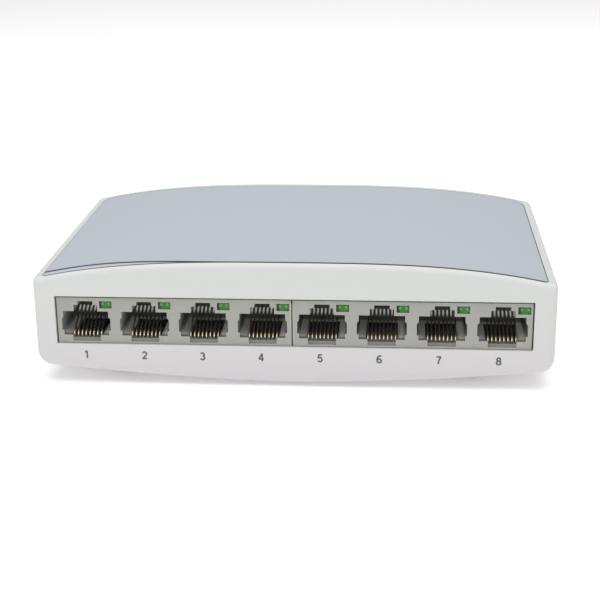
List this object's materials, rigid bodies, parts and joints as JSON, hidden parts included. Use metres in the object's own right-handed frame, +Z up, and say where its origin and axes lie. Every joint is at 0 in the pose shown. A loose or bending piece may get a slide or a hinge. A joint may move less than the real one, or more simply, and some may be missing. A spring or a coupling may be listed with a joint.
{
  "type": "desktop network switch",
  "caption": "Desktop network switch: low white housing with a domed silver-blue top panel and a front row of modular sockets with status lights.",
  "frame": {"origin": "on the surface that the switch stands on, under the middle of its bounding box", "axes": "+X to the right when facing the sockets, +Y towards the back with the sockets facing -Y, +Z up"},
  "size_m": [0.1334, 0.0836, 0.0334],
  "materials": {
    "white_plastic": "fine satin texture",
    "panel": "satin silver-blue, edge of the panel",
    "film": "satin silver-blue film",
    "socket_plastic": "moulded, slightly glossy",
    "green_lens": "clear tinted lens",
    "contact_gold": "gold-flashed spring wire",
    "tin": "tinned",
    "screw_steel": "zinc plated",
    "can_steel": "drawn can",
    "rubber": "matte",
    "thermal_rubber": "soft pad",
    "board_laminate": "solder mask",
    "chip_black": "moulded epoxy",
    "capacitor_sleeve": "shrunk sleeve",
    "ceramic": "fired ceramic",
    "heat_sink_aluminium": "anodised",
    "inlet_plastic": "moulded"
  },
  "bodies": {
    "switch_body": {"top_cover": "white_plastic", "top_panel": "panel", "top_film": "film", "bottom_cover": "white_plastic", "case_screws": "screw_steel", "foot_front_left": "rubber", "foot_front_right": "rubber", "foot_back_left": "rubber", "foot_back_right": "rubber", "circuit_board": "board_laminate", "board_screws": "screw_steel", "socket_block_left": "socket_plastic", "socket_block_right": "socket_plastic", "port_1_light": "green_lens", "port_2_light": "green_lens", "port_3_light": "green_lens", "port_4_light": "green_lens", "port_5_light": "green_lens", "port_6_light": "green_lens", "port_7_light": "green_lens", "port_8_light": "green_lens", "contact_tails_left": "contact_gold", "contact_tails_right": "contact_gold", "light_leads": "tin", "magnetics_1": "chip_black", "magnetics_2": "chip_black", "magnetics_3": "chip_black", "magnetics_4": "chip_black", "magnetics_pins": "tin", "switch_chip": "chip_black", "switch_chip_pins": "tin", "thermal_pad": "thermal_rubber", "heat_sink": "heat_sink_aluminium", "crystal": "can_steel", "capacitor_1": "capacitor_sleeve", "capacitor_2": "capacitor_sleeve", "capacitor_3": "capacitor_sleeve", "power_inductor": "chip_black", "regulator": "chip_black", "chip_resistors": "chip_black", "chip_capacitors": "ceramic", "inlet_housing": "inlet_plastic", "inlet_pin": "tin", "inlet_terminals": "tin"},
    "port_1_springs": {"port_1_contacts": "contact_gold"},
    "port_2_springs": {"port_2_contacts": "contact_gold"},
    "port_3_springs": {"port_3_contacts": "contact_gold"},
    "port_4_springs": {"port_4_contacts": "contact_gold"},
    "port_5_springs": {"port_5_contacts": "contact_gold"},
    "port_6_springs": {"port_6_contacts": "contact_gold"},
    "port_7_springs": {"port_7_contacts": "contact_gold"},
    "port_8_springs": {"port_8_contacts": "contact_gold"},
    "inlet_sleeve_spring": {"inlet_spring": "tin"}
  },
  "joints": [
    {"name": "port_1_contact_flex", "type": "hinge", "parent": "switch_body", "child": "port_1_springs", "pos_m": [-0.05334, -0.03915, 0.0131], "axis": [-1, 0, 0], "range_deg": [0, 13], "stiffness_Nm_per_rad": 0.6, "springref_deg": -3.44},
    {"name": "port_2_contact_flex", "type": "hinge", "parent": "switch_body", "child": "port_2_springs", "pos_m": [-0.0381, -0.03915, 0.0131], "axis": [-1, 0, 0], "range_deg": [0, 13], "stiffness_Nm_per_rad": 0.6, "springref_deg": -3.44},
    {"name": "port_3_contact_flex", "type": "hinge", "parent": "switch_body", "child": "port_3_springs", "pos_m": [-0.02286, -0.03915, 0.0131], "axis": [-1, 0, 0], "range_deg": [0, 13], "stiffness_Nm_per_rad": 0.6, "springref_deg": -3.44},
    {"name": "port_4_contact_flex", "type": "hinge", "parent": "switch_body", "child": "port_4_springs", "pos_m": [-0.00762, -0.03915, 0.0131], "axis": [-1, 0, 0], "range_deg": [0, 13], "stiffness_Nm_per_rad": 0.6, "springref_deg": -3.44},
    {"name": "port_5_contact_flex", "type": "hinge", "parent": "switch_body", "child": "port_5_springs", "pos_m": [0.00762, -0.03915, 0.0131], "axis": [-1, 0, 0], "range_deg": [0, 13], "stiffness_Nm_per_rad": 0.6, "springref_deg": -3.44},
    {"name": "port_6_contact_flex", "type": "hinge", "parent": "switch_body", "child": "port_6_springs", "pos_m": [0.02286, -0.03915, 0.0131], "axis": [-1, 0, 0], "range_deg": [0, 13], "stiffness_Nm_per_rad": 0.6, "springref_deg": -3.44},
    {"name": "port_7_contact_flex", "type": "hinge", "parent": "switch_body", "child": "port_7_springs", "pos_m": [0.0381, -0.03915, 0.0131], "axis": [-1, 0, 0], "range_deg": [0, 13], "stiffness_Nm_per_rad": 0.6, "springref_deg": -3.44},
    {"name": "port_8_contact_flex", "type": "hinge", "parent": "switch_body", "child": "port_8_springs", "pos_m": [0.05334, -0.03915, 0.0131], "axis": [-1, 0, 0], "range_deg": [0, 13], "stiffness_Nm_per_rad": 0.6, "springref_deg": -3.44},
    {"name": "inlet_spring_flex", "type": "hinge", "parent": "switch_body", "child": "inlet_sleeve_spring", "pos_m": [0.04, 0.0329, 0.0136], "axis": [-1, 0, 0], "range_deg": [0, 8], "stiffness_Nm_per_rad": 0.1, "springref_deg": -2.29}
  ]
}
